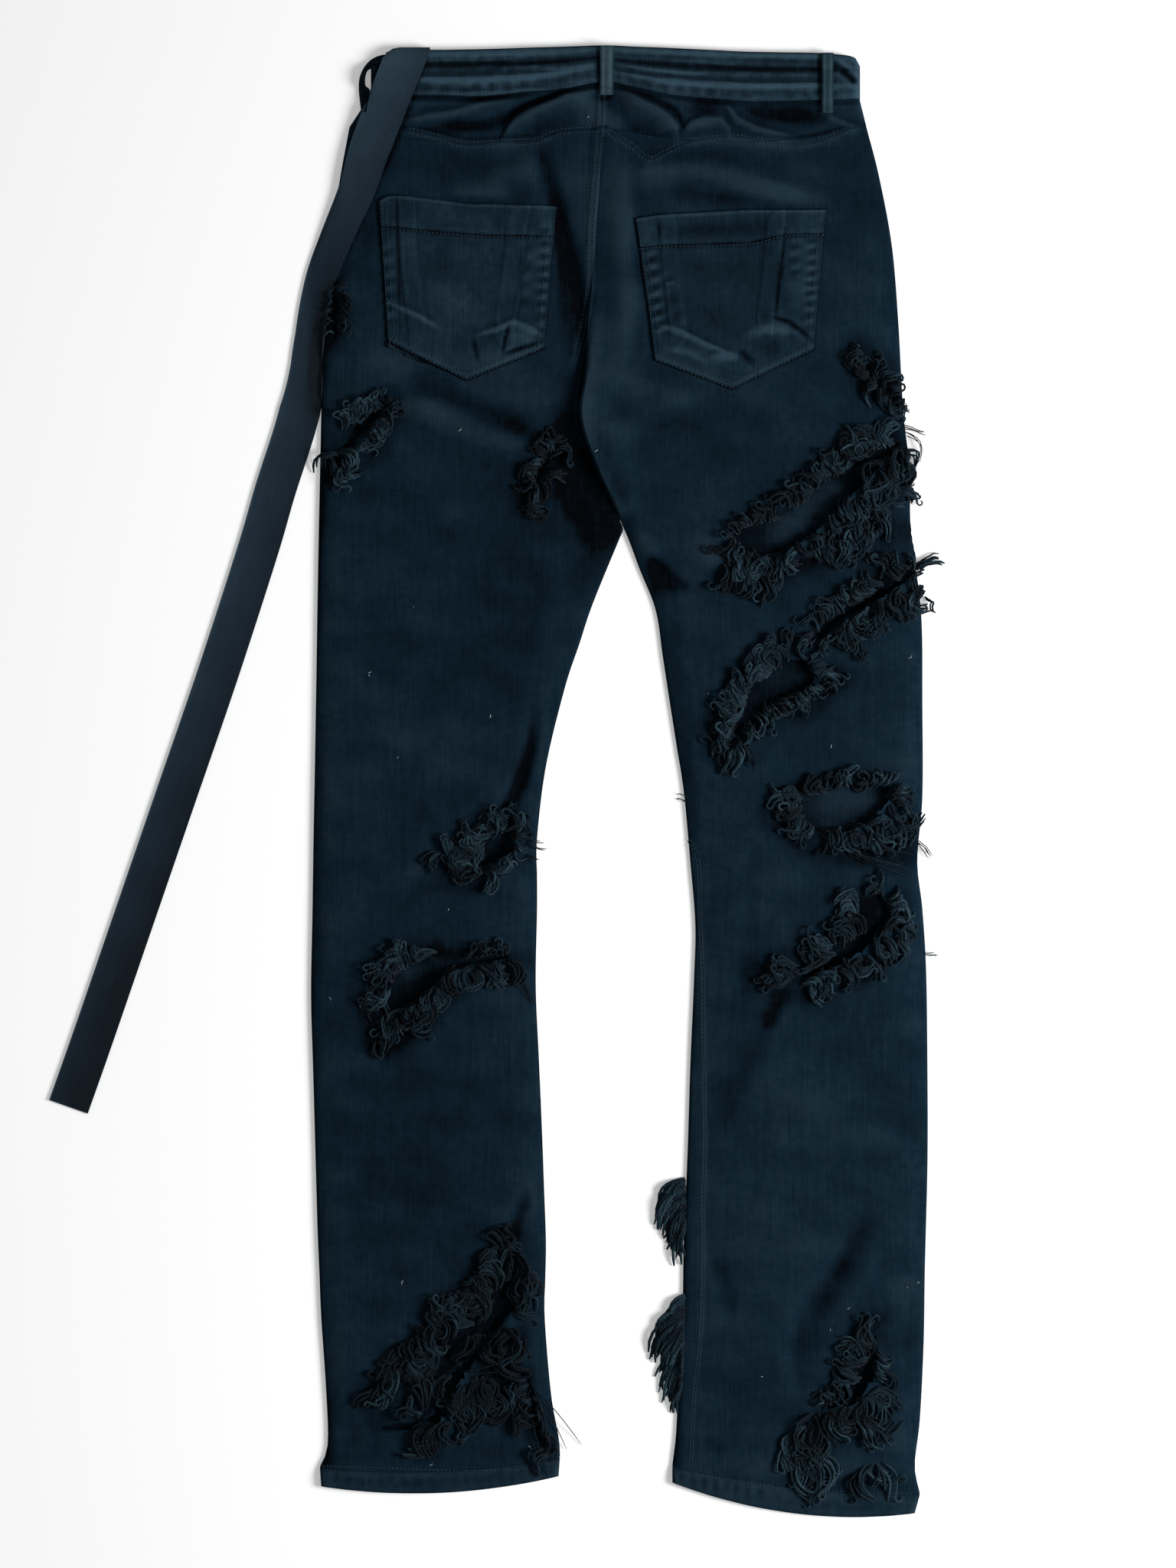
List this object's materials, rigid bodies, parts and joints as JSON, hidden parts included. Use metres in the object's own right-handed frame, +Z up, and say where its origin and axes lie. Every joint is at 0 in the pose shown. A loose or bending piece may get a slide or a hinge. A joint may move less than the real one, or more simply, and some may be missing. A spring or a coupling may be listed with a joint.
{
  "type": "ripped jeans laid flat with a webbing belt strap",
  "caption": "Dark ripped jeans lying flat, back side up, with patch pockets, frayed rips, turned hems and a long webbing strap over the left hip.",
  "frame": {"origin": "on the resting surface, under the middle of the garment's bounding box", "axes": "+Z up off the surface, +Y towards the waist, +X to the right as seen from above with the back side up"},
  "size_m": [0.6981, 1.152, 0.0089],
  "materials": {
    "denim": "dark petrol stretch twill, faintly faded on ridges and seams",
    "waist_denim": "the same twill, worn lighter along its creases",
    "yarn": "loose frayed cotton yarn, matte",
    "webbing": "flat plain-woven webbing, nearly black",
    "button_metal": "dark worn metal, plain"
  },
  "bodies": {
    "root": {"front_leg_left": "denim", "front_leg_right": "denim", "back_leg_left": "denim", "back_leg_right": "denim", "yoke_left": "denim", "yoke_right": "denim", "back_pocket_left": "denim", "back_pocket_right": "denim", "hem_left": "denim", "hem_right": "denim", "fly": "denim", "waistband": "waist_denim", "belt_loop_centre": "waist_denim", "belt_loop_left": "waist_denim", "belt_loop_right": "waist_denim", "fray_left_hem": "yarn", "fray_left_hem_inner": "yarn", "fray_left_hip": "yarn", "fray_left_inner_thigh": "yarn", "fray_left_knee": "yarn", "fray_left_shin": "yarn", "fray_left_thigh": "yarn", "fray_right_above_knee": "yarn", "fray_right_below_knee": "yarn", "fray_right_calf_edge": "yarn", "fray_right_hem": "yarn", "fray_right_hem_edge": "yarn", "fray_right_hip": "yarn", "fray_right_inner_thigh": "yarn", "fray_right_knee": "yarn", "fray_right_shin": "yarn", "fray_right_thigh": "yarn", "strap": "webbing", "waist_button": "button_metal"}
  },
  "joints": []
}
